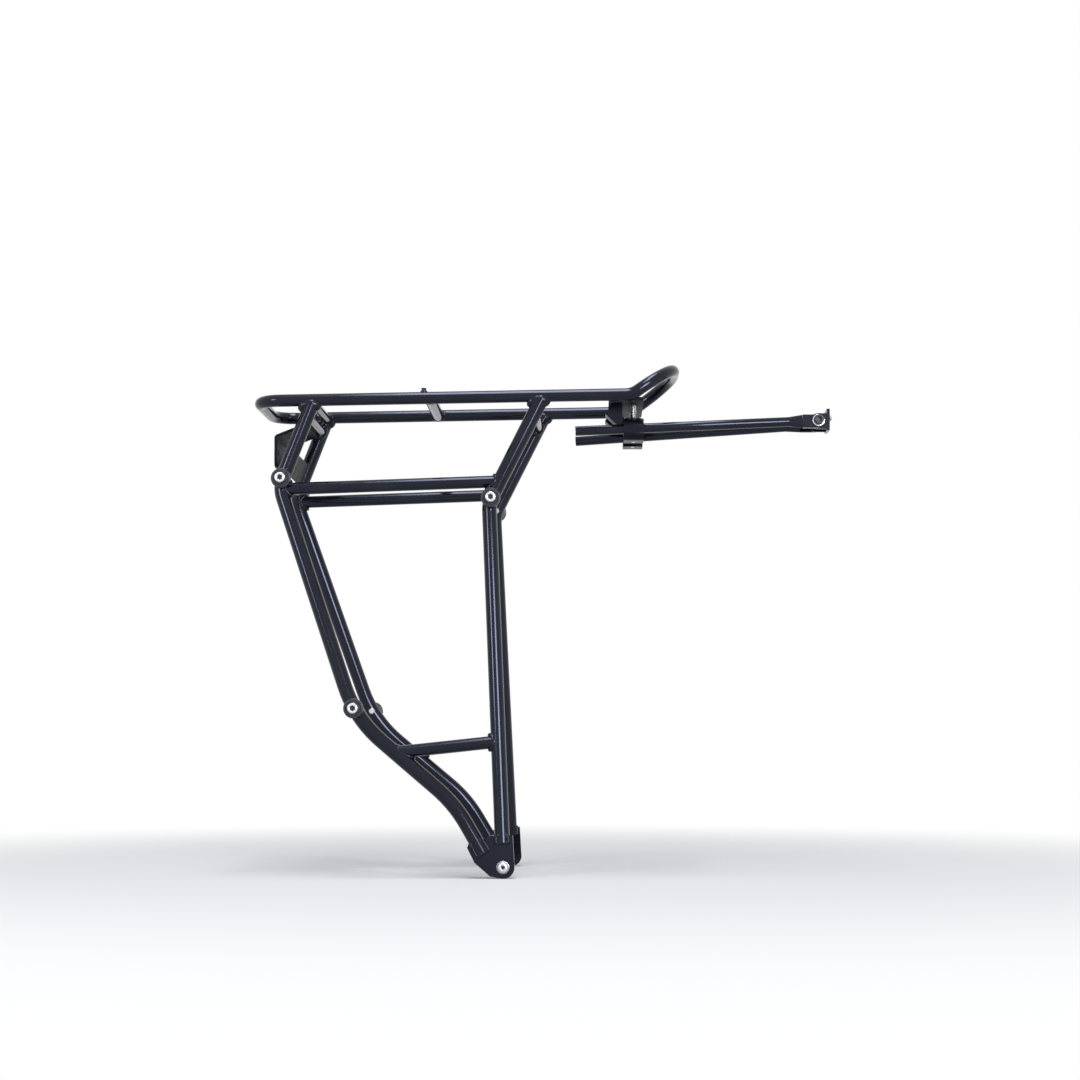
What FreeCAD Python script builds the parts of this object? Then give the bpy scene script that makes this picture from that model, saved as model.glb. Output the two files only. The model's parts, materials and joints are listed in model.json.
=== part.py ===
import FreeCAD, Part
import math
import os
import Sketcher
from FreeCAD import Placement, Rotation, Vector

# Rear rack of a bicycle, welded from round aluminium bar. Millimetres and degrees.
# +X points to the bicycle's front, +Y to its left, +Z up. The origin lies on the centre plane,
# midway between the bolt holes of the two feet. Every side piece is built on the right, at
# negative Y, and its left twin is the mirror image. A height is measured up from the origin; a
# drop, down from the deck, so that all that hangs from the deck moves with it.

SIZES = (
    # Deck: one bar bent to a closed loop, pitched slightly nose-up, its front end turned up.
    ("deck_diameter", 10.0),
    ("deck_half_width", 44.0),
    ("deck_height", 379.5),
    ("deck_pitch", 0.92),
    ("deck_rear", 202.0),
    ("deck_corner", 18.0),
    ("nose_start", 103.0),
    ("nose_angle", 35.0),
    ("nose_length", 42.5),
    ("nose_bend", 18.0),
    ("nose_corner", 35.5),
    # Legs: each leans forward above its top bend and splays outwards below it.
    ("leg_diameter", 12.0),
    ("leg_top_bend", 30.0),
    ("saddle_depth", 2.0),
    ("rear_lean", 21.2),
    ("rear_top_back", 183.9),
    ("rear_top_drop", 72.9),
    ("rear_knee_back", 118.7),
    ("rear_knee_height", 117.4),
    ("rear_knee_bend", 100.0),
    ("rear_ankle_back", 38.6),
    ("rear_ankle_height", 49.6),
    ("rear_ankle_bend", 110.0),
    ("rear_end_back", 16.0),
    ("rear_end_height", 11.0),
    ("front_lean", 26.8),
    ("front_top_back", 13.3),
    ("front_top_drop", 86.4),
    ("front_end_back", 0.7),
    ("front_end_height", 19.0),
    # Feet: a plate on each side that both leg ends straddle.
    ("foot_half_width", 77.5),
    ("foot_thickness", 5.0),
    ("foot_tail_back", 29.0),
    ("foot_tail_height", 16.5),
    ("foot_crown_back", 9.0),
    ("foot_crown_height", 25.0),
    ("foot_front", 7.6),
    ("foot_eye", 9.0),
    ("foot_heel_back", 10.5),
    ("foot_heel_drop", 7.0),
    ("foot_waist_back", 22.5),
    ("foot_waist_height", 3.5),
    ("foot_corner", 2.0),
    ("mount_hole", 5.5),
    # Side rails, on which pannier hooks hang, and the struts low between the legs.
    ("rail_diameter", 10.0),
    ("rail_rear_drop", 75.4),
    ("rail_front_drop", 69.3),
    ("strut_rear_height", 90.4),
    ("strut_front_height", 99.2),
    # Cross members: thin ties below the deck, and crossbars in it.
    ("tie_diameter", 8.0),
    ("tie_drop", 12.7),
    ("rear_bar_back", 156.5),
    ("rear_bar_drop", 2.5),
    ("middle_bar_back", 61.5),
    ("middle_bar_diameter", 10.0),
    ("nub_back", 66.5),
    ("nub_diameter", 4.0),
    ("nub_height", 3.0),
    # Front bridge: a slotted plate from which the two stay clamps hang.
    ("bridge_rear", 84.0),
    ("bridge_front", 112.5),
    ("bridge_thickness", 3.0),
    ("bridge_drop", 3.2),
    ("bridge_corner", 6.0),
    ("slot_clearance", 0.25),
    ("slot_travel", 9.5),
    # Tail: the light bracket under the rear tie and the strip between the rear legs.
    ("sheet_thickness", 2.5),
    ("tail_face_back", 190.3),
    ("tail_face_half_width", 31.0),
    ("tail_face_bottom_drop", 55.3),
    ("tail_face_top_drop", 29.2),
    ("tail_face_bend", 3.5),
    ("tail_face_corner", 5.0),
    ("tail_flange_rise", 21.5),
    ("light_hole_pitch", 50.0),
    ("strip_bottom_drop", 61.5),
    ("strip_top_drop", 44.0),
    # Pannier bolts: a boss on the bar, a disc and a cap screw.
    ("upper_rear_bolt_drop", 67.5),
    ("lower_rear_bolt_height", 125.4),
    ("upper_front_bolt_drop", 83.5),
    ("boss_diameter", 11.0),
    ("boss_stand", 1.5),
    ("disc_diameter", 16.0),
    ("disc_thickness", 3.0),
    # M5 screws, with the thread left as a plain cylinder.
    ("screw_diameter", 5.0),
    ("screw_head", 8.5),
    ("screw_head_height", 5.0),
    ("screw_socket", 4.0),
    ("screw_tip", 2.0),
    ("thread_clearance", 0.05),
    ("washer_diameter", 10.0),
    ("washer_thickness", 1.0),
    ("nut_width", 8.0),
    ("nut_height", 5.0),
    # Stay rods: a narrow V from the clamps to the seat bracket.
    ("rod_diameter", 8.0),
    ("rod_length", 201.4),
    ("rod_pitch", 3.13),
    ("rod_spread", 0.0794),
    ("pivot_front", 257.7),
    ("pivot_drop", 14.8),
    ("eye_offset", 11.5),
    ("eye_thickness", 3.5),
    ("eye_diameter", 12.0),
    ("eye_tab", 11.0),
    ("eye_neck", 13.0),
    ("eye_taper", 12.0),
    # Stay clamps: a block with a heel against the bridge, hung on one bolt.
    ("clamp_centre", 104.5),
    ("clamp_bolt_offset", 14.2),
    ("block_length", 16.4),
    ("block_inner", 9.0),
    ("block_outer", 30.4),
    ("block_bottom_drop", 33.1),
    ("block_height", 17.7),
    ("block_round", 6.0),
    ("block_slit", 1.0),
    ("flange_diameter", 17.6),
    ("flange_thickness", 1.6),
    ("heel_inner", 9.5),
    ("heel_outer", 25.5),
    ("heel_crest", 86.0),
    ("heel_nose", 81.3),
    ("heel_nose_drop", 11.3),
    ("heel_toe", 91.0),
    ("heel_toe_drop", 20.3),
    ("heel_front", 95.2),
    ("running_clearance", 0.05),
    ("sliding_gap", 0.1),
    # Seat bracket: a U that turns on the cross bolt and bolts to the seat tube.
    ("bracket_face", 265.0),
    ("bracket_half_width", 9.5),
    ("bracket_thickness", 2.5),
    ("bracket_bottom_drop", 22.5),
    ("bracket_top_drop", 4.5),
    ("bracket_cheek", 13.0),
    ("bracket_hole_drop", 11.1),
    ("spacer_diameter", 8.0),
)

RIGHT = Vector(0, -1, 0)
FORWARD = Vector(1, 0, 0)
UP = Vector(0, 0, 1)

doc = FreeCAD.newDocument("rear_rack")
sheet = doc.addObject("Spreadsheet::Sheet", "sizes")
for row, (alias, value) in enumerate(SIZES, start=1):
    sheet.set(f"A{row}", alias.replace("_", " "))
    sheet.set(f"B{row}", str(value))
    sheet.setAlias(f"B{row}", alias)
doc.recompute()


def size(alias):
    """A cell of the sheet as a number; a leading minus sign turns it round."""
    if alias.startswith("-"):
        return -float(getattr(sheet, alias[1:]))
    return float(getattr(sheet, alias))


def below_deck(alias):
    """The height that lies below the deck's own height by a named drop."""
    return size("deck_height") - size(alias)


def cell(alias):
    """A cell as an expression."""
    return "-sizes." + alias[1:] if alias.startswith("-") else "sizes." + alias


# ---------------------------------------------------------------- solids bound to the sheet


def bound(obj, **expressions):
    for name, text in expressions.items():
        obj.setExpression(name, text)
    return obj


def cylinder(name, start, direction, diameter, height):
    """A round bar from start along direction; diameter and height are expressions."""
    obj = doc.addObject("Part::Cylinder", name)
    obj.Placement = Placement(start, Rotation(UP, direction))
    return bound(obj, Radius=f"({diameter}) / 2", Height=height)


def box(name, corner, length, width, height, turn=Rotation()):
    obj = doc.addObject("Part::Box", name)
    obj.Placement = Placement(corner, turn)
    return bound(obj, Length=length, Width=width, Height=height)


def cut(name, base, *tools):
    """Takes each tool away in turn; the last cut carries the name."""
    for count, tool in enumerate(tools, start=1):
        step = doc.addObject("Part::Cut", name if count == len(tools) else f"{name}_cut_{count}")
        step.Base = base
        step.Tool = tool
        base = step
    return base


def fuse(name, *members):
    obj = doc.addObject("Part::MultiFuse", name)
    obj.Shapes = list(members)
    obj.Refine = True
    return obj


def group(name, *members):
    obj = doc.addObject("Part::Compound", name)
    obj.Links = list(members)
    return obj


def mirrored(name, source):
    obj = doc.addObject("Part::Mirroring", name)
    obj.Source = source
    obj.Base = Vector(0, 0, 0)
    obj.Normal = Vector(0, 1, 0)
    return obj


def extruded(name, points, direction, depth):
    """A flat closed outline, extruded along direction; depth is an expression."""
    outline = doc.addObject("Part::Feature", name + "_outline")
    outline.Shape = Part.makePolygon(points + points[:1])
    obj = doc.addObject("Part::Extrusion", name)
    obj.Base = outline
    obj.DirMode = "Custom"
    obj.Dir = direction
    obj.Solid = True
    return bound(obj, LengthFwd=depth)


def rounded(name, base, radius, wanted):
    """Rounds the edges of base that the test picks."""
    doc.recompute()
    obj = doc.addObject("Part::Fillet", name)
    obj.Base = base
    obj.Edges = [
        (number, radius, radius)
        for number, edge in enumerate(base.Shape.Edges, start=1)
        if wanted(edge)
    ]
    return obj


def along(edge, direction):
    """Whether a straight edge runs along direction."""
    if not isinstance(edge.Curve, Part.Line):
        return False
    return abs(edge.Curve.Direction.dot(direction)) > 0.999


# ---------------------------------------------------------------- bent bars


def bent_path(name, points, radii):
    """Straight runs joined by tangent arcs, one radius for each inner point."""
    edges = []
    start = points[0]
    for before, corner, after, radius in zip(points, points[1:], points[2:], radii):
        into = (corner - before).normalize()
        out = (after - corner).normalize()
        half_turn = into.getAngle(out) / 2
        reach = radius * math.tan(half_turn)
        inward = (out - into).normalize()
        first = corner - into * reach
        middle = corner + inward * (radius / math.cos(half_turn) - radius)
        last = corner + out * reach
        edges.append(Part.LineSegment(start, first).toShape())
        edges.append(Part.Arc(first, middle, last).toShape())
        start = last
    edges.append(Part.LineSegment(start, points[-1]).toShape())
    path = doc.addObject("Part::Feature", name)
    path.Shape = Part.Wire(edges)
    return path


def bent_bar(name, points, radii, diameter):
    """A round bar swept along a bent path; diameter is an expression."""
    path = bent_path(name + "_path", points, radii)
    section = doc.addObject("Part::Circle", name + "_section")
    section.Placement = Placement(points[0], Rotation(UP, points[1] - points[0]))
    bound(section, Radius=f"({diameter}) / 2")
    bar = doc.addObject("Part::Sweep", name)
    bar.Sections = [section]
    bar.Spine = (path, [f"Edge{n}" for n in range(1, len(path.Shape.Edges) + 1)])
    bar.Solid = True
    return bar


def deck_z(x):
    """Height of the deck's centreline."""
    return size("deck_height") + x * math.tan(math.radians(size("deck_pitch")))


def right(x, half_width, z):
    return Vector(x, -half_width, z)


def deck_loop():
    """The right half of the loop from the tail to the nose, with its mirror image."""
    side = size("deck_half_width")
    tail = -size("deck_rear")
    bend = size("nose_start")
    slope = math.radians(size("nose_angle"))
    tip_x = bend + size("nose_length") * math.cos(slope)
    tip_z = deck_z(bend) + size("nose_length") * math.sin(slope)
    points = [
        right(tail, 0, deck_z(tail)),
        right(tail, side, deck_z(tail)),
        right(bend, side, deck_z(bend)),
        right(tip_x, side, tip_z),
        right(tip_x, 0, tip_z),
    ]
    radii = [size("deck_corner"), size("nose_bend"), size("nose_corner")]
    half = bent_bar("deck_right_half", points, radii, "sizes.deck_diameter")
    return fuse("deck_loop", half, mirrored("deck_left_half", half))


def leaning(top, lean, z):
    """X of a leg's leaning part at height z."""
    return top[0] + (z - top[1]) * math.tan(math.radians(lean))


def splay(top, z):
    """Distance of a leg from the centre plane at height z."""
    if z >= top[1]:
        return size("deck_half_width")
    foot = size("foot_eye") + size("foot_waist_height")
    share = (top[1] - z) / (top[1] - foot)
    return size("deck_half_width") + share * (size("foot_half_width") - size("deck_half_width"))


def leg_corners(top, lean, lower):
    """The leg's corner points from under the deck rail down to the foot."""
    tan_pitch = math.tan(math.radians(size("deck_pitch")))
    tan_lean = math.tan(math.radians(lean))
    meet_z = (size("deck_height") + (top[0] - top[1] * tan_lean) * tan_pitch) / (1 - tan_lean * tan_pitch)
    end_z = meet_z - size("saddle_depth")
    flat = [(leaning(top, lean, end_z), end_z), top] + lower
    return [right(x, splay(top, z), z) for x, z in flat]


def on_corners(corners, z):
    """The point at height z on the straight lines between the corners."""
    for upper, lower in zip(corners, corners[1:]):
        if upper.z >= z >= lower.z:
            return upper + (lower - upper) * ((upper.z - z) / (upper.z - lower.z))
    raise ValueError(f"no point at height {z}")


def on_bar(path, z):
    """The point at height z on the bent path itself."""
    level = Part.makePlane(2000, 2000, Vector(-1000, -1000, z))
    return path.Shape.section(level).Vertexes[0].Point


REAR_TOP = (-size("rear_top_back"), below_deck("rear_top_drop"))
FRONT_TOP = (-size("front_top_back"), below_deck("front_top_drop"))
REAR_CORNERS = leg_corners(REAR_TOP, size("rear_lean"), [
    (-size("rear_knee_back"), size("rear_knee_height")),
    (-size("rear_ankle_back"), size("rear_ankle_height")),
    (-size("rear_end_back"), size("rear_end_height")),
])
FRONT_CORNERS = leg_corners(FRONT_TOP, size("front_lean"), [
    (-size("front_end_back"), size("front_end_height")),
])


# ---------------------------------------------------------------- feet


def foot():
    """The foot plate: a flat outline, padded, with rounded corners and the bolt's hole."""
    body = doc.addObject("PartDesign::Body", "foot_right_body")
    plane = next(item for item in body.Origin.OriginFeatures if item.Role == "XZ_Plane")
    sketch = body.newObject("Sketcher::SketchObject", "foot_outline")
    sketch.AttachmentSupport = (plane, [""])
    sketch.MapMode = "FlatFace"
    corners = (
        ("-foot_tail_back", "foot_tail_height"),
        ("-foot_crown_back", "foot_crown_height"),
        ("foot_front", "foot_crown_height"),
        ("foot_eye", None),
        (None, "-foot_eye"),
        ("-foot_heel_back", "-foot_heel_drop"),
        ("-foot_waist_back", "foot_waist_height"),
    )
    points = [Vector(size(x) if x else 0, size(z) if z else 0, 0) for x, z in corners]
    sharp = range(2, 5)
    eye_start = 3
    eye_end = 4
    middle = Vector(1, -1, 0).normalize() * size("foot_eye")
    for number, start in enumerate(points):
        end = points[(number + 1) % len(points)]
        if number == eye_start:
            sketch.addGeometry(Part.Arc(start, middle, end), False)
        else:
            sketch.addGeometry(Part.LineSegment(start, end), False)
    # The eye's arc runs anticlockwise, so its ends are taken the other way round.
    for number in range(len(points)):
        following = (number + 1) % len(points)
        ends = (1 if number == eye_start else 2, 2 if following == eye_start else 1)
        sketch.addConstraint(Sketcher.Constraint("Coincident", number, ends[0], following, ends[1]))
    # The arc's centre is the bolt hole, so the radius of one end settles the other.
    sketch.addConstraint(Sketcher.Constraint("Coincident", eye_start, 3, -1, 1))
    for number, (x, z) in enumerate(corners):
        end = 2 if number == eye_start else 1
        for kind, alias, axis in (("DistanceX", x, -2), ("DistanceY", z, -1)):
            if alias is None:
                sketch.addConstraint(Sketcher.Constraint("PointOnObject", number, end, axis))
            elif number != eye_end:
                label = f"{kind}_{number}"
                index = sketch.addConstraint(
                    Sketcher.Constraint(kind, -1, 1, number, end, size(alias)))
                sketch.renameConstraint(index, label)
                sketch.setExpression(f"Constraints.{label}", cell(alias))
    pad = body.newObject("PartDesign::Pad", "foot_pad")
    pad.Profile = sketch
    pad.SideType = "Symmetric"
    bound(pad, Length="sizes.foot_thickness")
    doc.recompute()
    rounded_places = [(p.x, p.y) for n, p in enumerate(points) if n not in sharp]
    across = [
        f"Edge{n}" for n, edge in enumerate(pad.Shape.Edges, start=1)
        if along(edge, RIGHT) and any(
            math.dist((edge.Vertexes[0].X, edge.Vertexes[0].Z), place) < 0.01
            for place in rounded_places)
    ]
    smooth = body.newObject("PartDesign::Fillet", "foot_corners")
    smooth.Base = (pad, across)
    bound(smooth, Radius="sizes.foot_corner")
    body.Tip = smooth
    body.Placement = Placement(right(0, size("foot_half_width"), 0), Rotation())
    bore_start = right(0, size("foot_half_width") - size("foot_thickness"), 0)
    bore = cylinder("foot_bore", bore_start, RIGHT, "sizes.mount_hole", "2 * sizes.foot_thickness")
    return cut("foot_plate_right", body, bore)


# ---------------------------------------------------------------- screws


def cap_screw(name, seat, direction, length):
    """A socket-head screw whose head sits on seat; direction points out of the head.

    The length is an expression."""
    head = cylinder(name + "_head", seat, direction, "sizes.screw_head", "sizes.screw_head_height")
    shank = cylinder(name + "_shank", seat, direction * -1, "sizes.screw_diameter", length)
    socket = doc.addObject("Part::Prism", name + "_socket")
    socket.Polygon = 6
    floor = seat + direction * (size("screw_head_height") / 2)
    socket.Placement = Placement(floor, Rotation(UP, direction))
    bound(socket, Circumradius="sizes.screw_socket / sqrt(3)", Height="sizes.screw_head_height")
    whole = fuse(name + "_solid", head, shank)
    return cut(name, whole, socket)


def washer(name, seat, direction, outer, inner, thickness):
    """A ring that stands on seat; its sizes are expressions."""
    ring = cylinder(name + "_ring", seat, direction, outer, thickness)
    hole = cylinder(name + "_hole", seat, direction, inner, thickness)
    return cut(name, ring, hole)


# ---------------------------------------------------------------- the welded frame

deck = deck_loop()
foot_plate = foot()

rear_blank = bent_bar(
    "rear_leg_blank", REAR_CORNERS,
    [size("leg_top_bend"), size("rear_knee_bend"), size("rear_ankle_bend")], "sizes.leg_diameter")
front_blank = bent_bar("front_leg_blank", FRONT_CORNERS, [size("leg_top_bend")], "sizes.leg_diameter")
doc.recompute()
REAR_PATH = doc.getObject("rear_leg_blank_path")
FRONT_PATH = doc.getObject("front_leg_blank_path")

# Pannier bolts: two on the rear leg and one on the front leg, each through the bar's middle.
BOLT_PLACES = (
    ("upper_rear", on_bar(REAR_PATH, below_deck("upper_rear_bolt_drop"))),
    ("lower_rear", on_bar(REAR_PATH, size("lower_rear_bolt_height"))),
    ("upper_front", on_bar(FRONT_PATH, below_deck("upper_front_bolt_drop"))),
)
BOSS_REACH = "(sizes.leg_diameter / 2 + sizes.boss_stand)"
THREAD = "(sizes.screw_diameter + 2 * sizes.thread_clearance)"
boss_reach = size("leg_diameter") / 2 + size("boss_stand")
bosses = []
discs = []
screws = []
bolt_holes = {}
for place, centre in BOLT_PLACES:
    inside = centre - RIGHT * size("leg_diameter")
    bolt_holes[place] = cylinder(
        f"{place}_bolt_hole", inside, RIGHT, THREAD, "2 * sizes.leg_diameter")
    blank = cylinder(f"{place}_boss_blank", centre, RIGHT, "sizes.boss_diameter", BOSS_REACH)
    leg_blank = front_blank if place == "upper_front" else rear_blank
    bosses.append(cut(f"{place}_boss", blank, leg_blank, bolt_holes[place]))
    seat = centre + RIGHT * boss_reach
    discs.append(washer(f"{place}_disc", seat, RIGHT, "sizes.disc_diameter", THREAD,
                        "sizes.disc_thickness"))
    head_seat = seat + RIGHT * size("disc_thickness")
    through = f"sizes.disc_thickness + {BOSS_REACH} + sizes.leg_diameter / 2 + sizes.screw_tip"
    screws.append(cap_screw(f"{place}_screw", head_seat, RIGHT, through))


def both_sides(name, members):
    """One node that holds the right-hand pieces and their mirror images."""
    near = group(name + "_right", *members)
    return group(name, near, mirrored(name + "_left", near))


pannier_bosses = both_sides("pannier_bosses", bosses)
pannier_discs = both_sides("pannier_discs", discs)
pannier_screws = both_sides("pannier_screws", screws)

foot_blank = doc.getObject("foot_right_body")
rear_leg = cut("rear_leg_right", rear_blank, deck, foot_blank,
               bolt_holes["upper_rear"], bolt_holes["lower_rear"])
front_leg = cut("front_leg_right", front_blank, deck, foot_blank, bolt_holes["upper_front"])
rear_leg_left = mirrored("rear_leg_left", rear_leg)
front_leg_left = mirrored("front_leg_left", front_leg)
foot_left = mirrored("foot_plate_left", foot_plate)


def straight_bar(name, start, end, diameter, *tools):
    """A round bar from one axis to another, coped by the tools."""
    blank = doc.addObject("Part::Cylinder", name + "_blank")
    blank.Placement = Placement(start, Rotation(UP, end - start))
    blank.Height = (end - start).Length
    bound(blank, Radius=f"({diameter}) / 2")
    return cut(name, blank, *tools)


side_rail = straight_bar(
    "side_rail_right",
    on_corners(REAR_CORNERS, below_deck("rail_rear_drop")),
    on_corners(FRONT_CORNERS, below_deck("rail_front_drop")),
    "sizes.rail_diameter", rear_blank, front_blank)
lower_strut = straight_bar(
    "lower_strut_right",
    on_corners(REAR_CORNERS, size("strut_rear_height")),
    on_corners(FRONT_CORNERS, size("strut_front_height")),
    "sizes.rail_diameter", rear_blank, front_blank)
side_rail_left = mirrored("side_rail_left", side_rail)
lower_strut_left = mirrored("lower_strut_left", lower_strut)


def tie(name, top, lean, leg, leg_on_left):
    """A thin bar between a pair of legs, just below the deck."""
    z = deck_z(top[0]) - size("tie_drop")
    start = right(leaning(top, lean, z), size("deck_half_width"), z)
    end = Vector(start.x, -start.y, start.z)
    return straight_bar(name, start, end, "sizes.tie_diameter", leg, leg_on_left)


rear_blank_left = mirrored("rear_leg_blank_left", rear_blank)
front_blank_left = mirrored("front_leg_blank_left", front_blank)
rear_tie = tie("rear_tie", REAR_TOP, size("rear_lean"), rear_blank, rear_blank_left)
front_tie = tie("front_tie", FRONT_TOP, size("front_lean"), front_blank, front_blank_left)


def crossbar(name, x, drop, diameter, *tools):
    """A bar across the deck, between the axes of its rails."""
    z = deck_z(x) - drop
    side = size("deck_half_width")
    return straight_bar(name, right(x, side, z), right(x, -side, z), diameter, deck, *tools)


rear_crossbar = crossbar(
    "rear_crossbar", -size("rear_bar_back"), size("rear_bar_drop"), "sizes.tie_diameter",
    rear_blank, rear_blank_left)
middle_crossbar = crossbar(
    "middle_crossbar", -size("middle_bar_back"), 0, "sizes.middle_bar_diameter")

nub_x = -size("nub_back")
nub_blank = cylinder(
    "strap_nub_blank", right(nub_x, size("deck_half_width"), deck_z(nub_x)), UP,
    "sizes.nub_diameter", "sizes.deck_diameter / 2 + sizes.nub_height")
strap_nubs = both_sides("strap_nubs", [cut("strap_nub", nub_blank, deck)])


# ---------------------------------------------------------------- front bridge

bridge_z = deck_z(size("bridge_rear")) - size("bridge_drop") - size("bridge_thickness") / 2
bridge_blank = box(
    "bridge_blank", right(size("bridge_rear"), size("deck_half_width"), bridge_z),
    "sizes.bridge_front - sizes.bridge_rear", "2 * sizes.deck_half_width", "sizes.bridge_thickness")
bridge_round = rounded(
    "bridge_round", bridge_blank, size("bridge_corner"),
    lambda edge: along(edge, UP) and edge.Vertexes[0].X > size("bridge_rear") + 1)


def slot(name):
    """A slot across the bridge, in which a clamp bolt slides."""
    width = "sizes.screw_diameter + 2 * sizes.slot_clearance"
    half_width = size("screw_diameter") / 2 + size("slot_clearance")
    low = bridge_z - size("bridge_thickness")
    inner = size("clamp_bolt_offset") - size("slot_travel") / 2
    outer = size("clamp_bolt_offset") + size("slot_travel") / 2
    x = size("clamp_centre")
    height = "3 * sizes.bridge_thickness"
    corner = right(x - half_width, outer, low)
    return fuse(
        name,
        cylinder(name + "_inner", right(x, inner, low), UP, width, height),
        cylinder(name + "_outer", right(x, outer, low), UP, width, height),
        box(name + "_middle", corner, width, "sizes.slot_travel", height))


slot_right = slot("slot_right")
front_bridge = cut("front_bridge", bridge_round, deck, slot_right, mirrored("slot_left", slot_right))


# ---------------------------------------------------------------- tail


def light_bracket():
    """A bent sheet: an upright face whose top turns forward and up to the rear tie."""
    thick = size("sheet_thickness")
    half = size("tail_face_half_width")
    back = -size("tail_face_back")
    low = below_deck("tail_face_bottom_drop")
    high = below_deck("tail_face_top_drop")
    rise = math.radians(size("tail_flange_rise"))
    # The flange ends in the tie's rear lower quarter, and the tie copes it.
    tie_z = deck_z(REAR_TOP[0]) - size("tie_drop")
    end_x = leaning(REAR_TOP, size("rear_lean"), tie_z) - size("tie_diameter") / 4
    end_z = high + (end_x - back) * math.tan(rise)
    depth = thick / math.cos(rise)
    inner_z = high + thick * math.tan(rise) - depth
    profile = [
        right(back, half, low), right(back, half, high), right(end_x, half, end_z),
        right(end_x, half, end_z - depth), right(back + thick, half, inner_z),
        right(back + thick, half, low),
    ]
    blank = extruded(
        "light_bracket_blank", profile, Vector(0, 1, 0), "2 * sizes.tail_face_half_width")
    bent = rounded(
        "light_bracket_bend", blank, size("tail_face_bend"),
        lambda edge: along(edge, RIGHT) and edge.Vertexes[0].X < back + 0.1
        and edge.Vertexes[0].Z > high - 0.1)
    smooth = rounded(
        "light_bracket_corners", bent, size("tail_face_corner"),
        lambda edge: along(edge, FORWARD) and edge.Vertexes[0].Z < low + 0.1)
    hole_z = (low + high) / 2
    holes = [
        cylinder(f"light_hole_{n}", Vector(back - 1, side * size("light_hole_pitch") / 2, hole_z),
                 FORWARD, "sizes.mount_hole", "2 * sizes.sheet_thickness + 1")
        for n, side in enumerate((-1, 1), start=1)
    ]
    return cut("light_bracket", smooth, doc.getObject("rear_tie_blank"), *holes)


def tail_strip():
    """A flat strip between the leaning parts of the rear legs, in their plane."""
    lean = math.radians(size("rear_lean"))
    low = below_deck("strip_bottom_drop")
    corner = right(leaning(REAR_TOP, size("rear_lean"), low), size("deck_half_width"), low)
    corner = corner - Vector(math.cos(lean), 0, -math.sin(lean)) * (size("sheet_thickness") / 2)
    blank = box(
        "tail_strip_blank", corner, "sizes.sheet_thickness", "2 * sizes.deck_half_width",
        "(sizes.strip_bottom_drop - sizes.strip_top_drop) / cos(sizes.rear_lean * 1 deg)",
        Rotation(Vector(0, 1, 0), size("rear_lean")))
    return cut("tail_strip", blank, rear_blank, rear_blank_left)


bracket_for_light = light_bracket()
strip = tail_strip()


# ---------------------------------------------------------------- stay rods

PIVOT = Vector(size("pivot_front"), 0, below_deck("pivot_drop"))
rod_pitch = math.radians(size("rod_pitch"))
BACKWARD = Vector(-math.cos(rod_pitch), 0, -math.sin(rod_pitch))


def on_rod(distance):
    """A point on the right rod's centreline, at a distance behind the pivot."""
    return PIVOT + BACKWARD * distance + RIGHT * (size("eye_offset") + distance * size("rod_spread"))


ROD_FORWARD = (on_rod(0) - on_rod(1)).normalize()


def stay_rod():
    """A round rod whose front end is pressed flat and pierced."""
    neck = on_rod(size("eye_neck") + size("eye_taper"))
    rear = on_rod(size("rod_length"))
    bar = doc.addObject("Part::Cylinder", "stay_rod_bar")
    bar.Placement = Placement(rear, Rotation(UP, ROD_FORWARD))
    bar.Height = (neck - rear).Length
    bound(bar, Radius="sizes.rod_diameter / 2")
    # The pressed part runs from a round section at the neck to a flat oval where the eye begins.
    round_end = doc.addObject("Part::Circle", "stay_rod_neck")
    round_end.Placement = Placement(neck, oval_turn(ROD_FORWARD))
    bound(round_end, Radius="sizes.rod_diameter / 2")
    flat_end = doc.addObject("Part::Ellipse", "stay_rod_oval")
    flat_centre = PIVOT + BACKWARD * size("eye_neck") + RIGHT * size("eye_offset")
    flat_end.Placement = Placement(flat_centre, oval_turn(BACKWARD * -1))
    bound(flat_end, MajorRadius="sizes.eye_tab / 2", MinorRadius="sizes.eye_thickness / 2")
    taper = doc.addObject("Part::Loft", "stay_rod_taper")
    taper.Sections = [round_end, flat_end]
    taper.Solid = True
    taper.Ruled = True
    inner = PIVOT + RIGHT * (size("eye_offset") - size("eye_thickness") / 2)
    disc = cylinder("stay_rod_disc", inner, RIGHT, "sizes.eye_diameter", "sizes.eye_thickness")
    corner = inner + BACKWARD * size("eye_neck") + RIGHT * size("eye_thickness")
    tab = box(
        "stay_rod_tab", corner - UP * (size("eye_tab") / 2),
        "sizes.eye_neck", "sizes.eye_thickness", "sizes.eye_tab")
    hole = cylinder("stay_rod_hole", inner, RIGHT, THREAD, "sizes.eye_thickness")
    return cut("stay_rod_right", fuse("stay_rod_solid", bar, taper, disc, tab), hole)


def oval_turn(normal):
    """Turns an ellipse so that it faces normal, with its long axis upright."""
    across = UP.cross(normal).normalize()
    upright = normal.cross(across)
    return Rotation(upright, across * -1, normal, "ZXY")


rod_right = stay_rod()
rod_left = mirrored("stay_rod_left", rod_right)


# ---------------------------------------------------------------- stay clamps

CLAMP = right(size("clamp_centre"), size("clamp_bolt_offset"), below_deck("block_bottom_drop"))
rod_reach = (size("pivot_front") - size("clamp_centre")) / math.cos(rod_pitch)


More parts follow.
